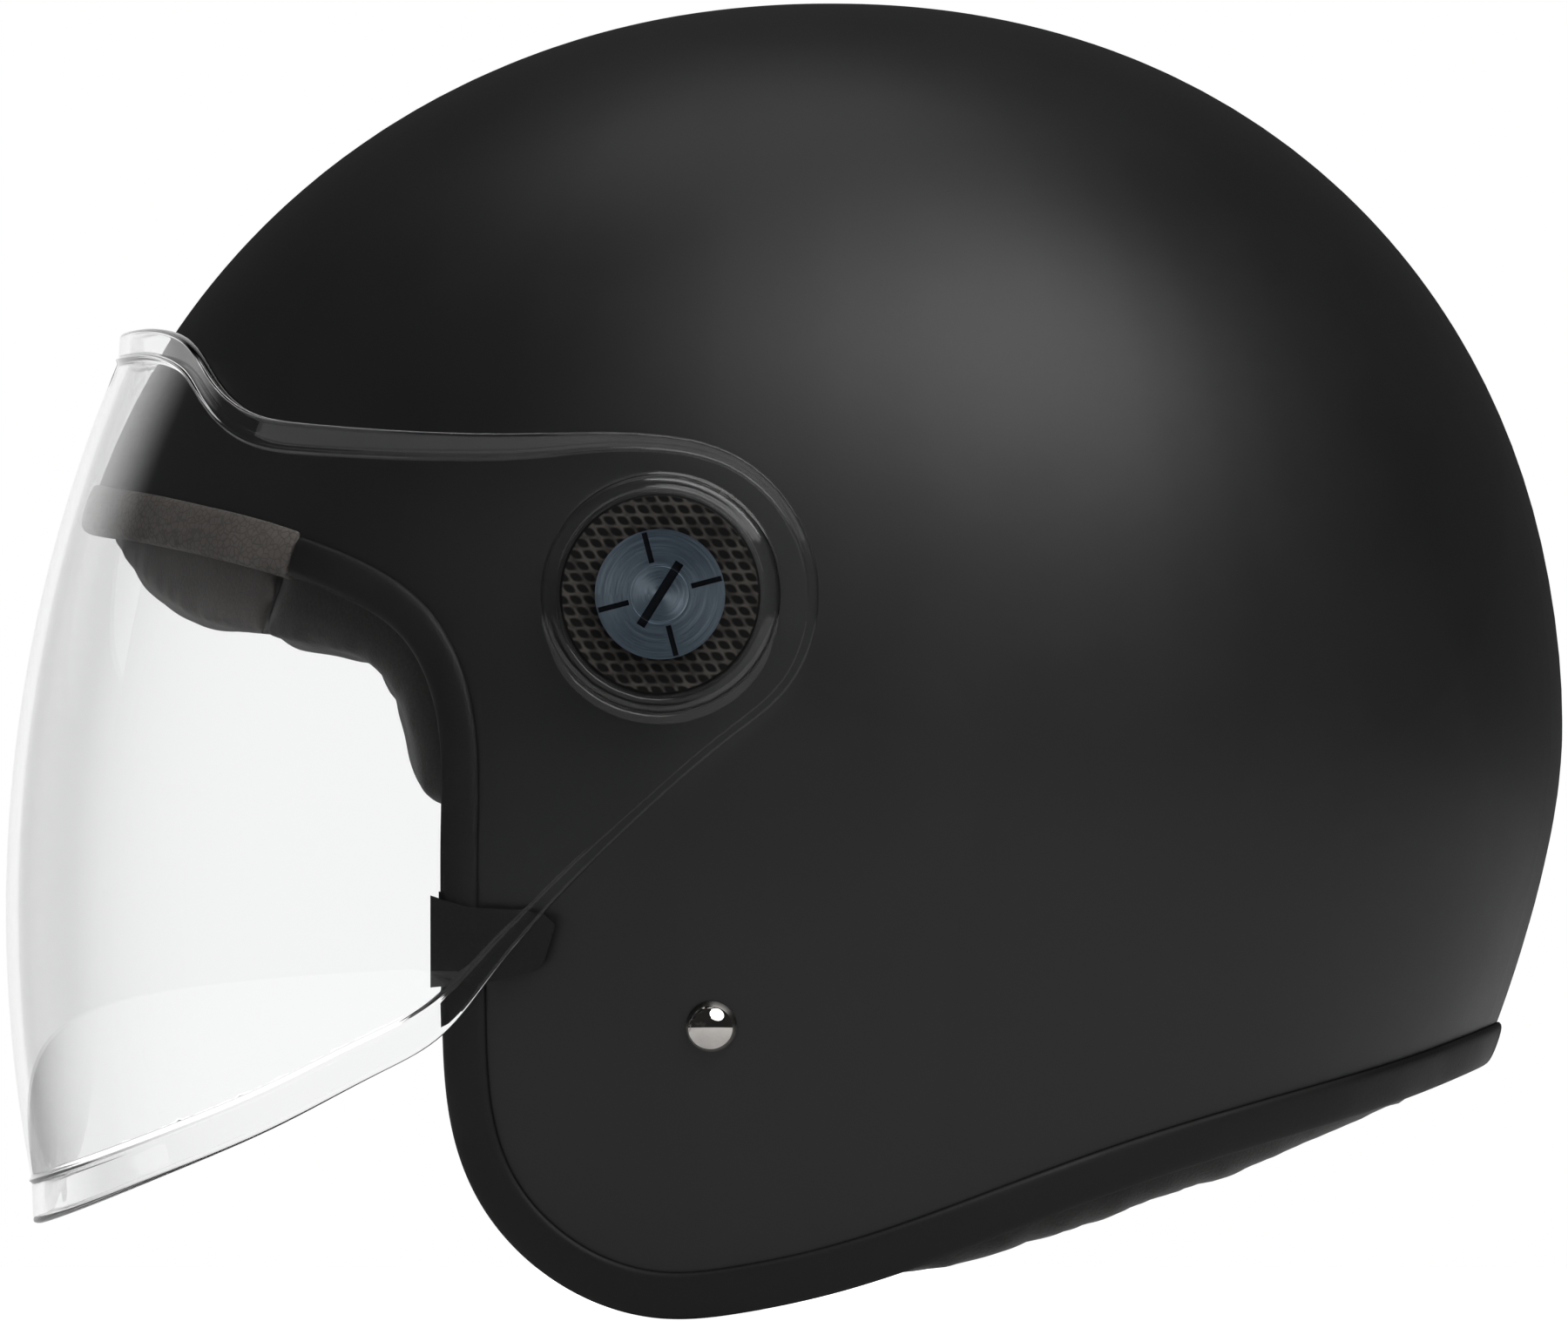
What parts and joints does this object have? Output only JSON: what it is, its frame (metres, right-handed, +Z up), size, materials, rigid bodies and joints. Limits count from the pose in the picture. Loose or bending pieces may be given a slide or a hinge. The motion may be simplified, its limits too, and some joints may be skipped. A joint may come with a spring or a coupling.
{
  "type": "open face motorcycle helmet",
  "caption": "Open-face helmet with a long clear hinged visor, edge trims, padded lining and a buckled chin strap.",
  "frame": {"origin": "centre of the bounding box's base, level with the lowest point of the cheeks", "axes": "+Z up, the helmet faces -Y, the wearer's left side is +X"},
  "size_m": [0.256, 0.2921, 0.246],
  "materials": {
    "matt_shell": "matt black paint over a fibre shell",
    "impact_foam": "black expanded foam, beaded",
    "comfort_cloth": "brushed lining cloth, dark grey",
    "lining_cloth": "lining cloth, dark grey",
    "brow_leather": "grey-brown leather-grained strip",
    "edge_rubber": "black, satin",
    "clear_visor": "clear, polished",
    "hinge_plastic": "black, moulded",
    "cover_weave": "dark woven look under clear lacquer",
    "screw_metal": "blue-grey, brushed",
    "rivet_chrome": "polished",
    "plain_steel": "zinc plated",
    "insert_brass": "turned",
    "snap_plastic": "black, moulded",
    "strap_webbing": "black woven webbing",
    "pull_tab_red": "red, moulded",
    "tongue_plastic": "black, moulded"
  },
  "bodies": {
    "helmet": {"outer_shell": "matt_shell", "impact_liner": "impact_foam", "comfort_liner": "comfort_cloth", "brow_trim": "brow_leather", "face_trim_left": "edge_rubber", "face_trim_right": "edge_rubber", "base_trim": "edge_rubber", "trim_clip_left": "edge_rubber", "trim_clip_right": "edge_rubber", "brow_pad": "lining_cloth", "temple_pad_left": "lining_cloth", "temple_pad_right": "lining_cloth", "cheek_block_left": "impact_foam", "cheek_block_right": "impact_foam", "cheek_snaps_left": "snap_plastic", "cheek_snaps_right": "snap_plastic", "cheek_pad_left": "lining_cloth", "cheek_pad_right": "lining_cloth", "neck_roll": "lining_cloth", "threaded_insert_left": "insert_brass", "threaded_insert_right": "insert_brass", "visor_base_left": "hinge_plastic", "visor_base_right": "hinge_plastic", "base_plate_screws_left": "plain_steel", "base_plate_screws_right": "plain_steel", "spring_washer_left": "plain_steel", "spring_washer_right": "plain_steel", "pivot_cover_left": "cover_weave", "pivot_cover_right": "cover_weave", "strap_rivet_left": "rivet_chrome", "strap_rivet_right": "rivet_chrome", "rivet_washer_left": "plain_steel", "rivet_washer_right": "plain_steel"},
    "visor": {"visor": "clear_visor"},
    "coin_screw_left": {"coin_screw_left": "screw_metal"},
    "coin_screw_right": {"coin_screw_right": "screw_metal"},
    "chin_strap": {"strap_webbing_left": "strap_webbing", "strap_webbing_right": "strap_webbing", "anchor_plate_left": "plain_steel", "anchor_plate_right": "plain_steel", "chin_pad": "lining_cloth", "buckle_housing": "plain_steel", "lever_pin": "plain_steel", "lever_spring": "plain_steel", "ratchet_tongue": "tongue_plastic"},
    "buckle_lever": {"buckle_lever": "plain_steel", "pull_tab": "pull_tab_red"}
  },
  "joints": [
    {"name": "visor_lift", "type": "hinge", "parent": "helmet", "child": "visor", "pos_m": [0, -0.023, 0.135], "axis": [-1, 0, 0], "range_deg": [0, 55]},
    {"name": "screw_turn_left", "type": "hinge", "parent": "helmet", "child": "coin_screw_left", "pos_m": [0.1267, -0.023, 0.135], "axis": [-1, 0, 0], "range_deg": [0, 90]},
    {"name": "screw_turn_right", "type": "hinge", "parent": "helmet", "child": "coin_screw_right", "pos_m": [-0.1267, -0.023, 0.135], "axis": [1, 0, 0], "range_deg": [0, 90]},
    {"name": "strap_swing", "type": "hinge", "parent": "helmet", "child": "chin_strap", "pos_m": [0, -0.0135, 0.0547], "axis": [1, 0, 0], "range_deg": [-8, 8]},
    {"name": "buckle_release", "type": "hinge", "parent": "chin_strap", "child": "buckle_lever", "pos_m": [0.055, -0.0135, 0.0049], "axis": [0, -1, 0], "range_deg": [0, 28], "stiffness_Nm_per_rad": 0.06, "springref_deg": -14.32}
  ]
}
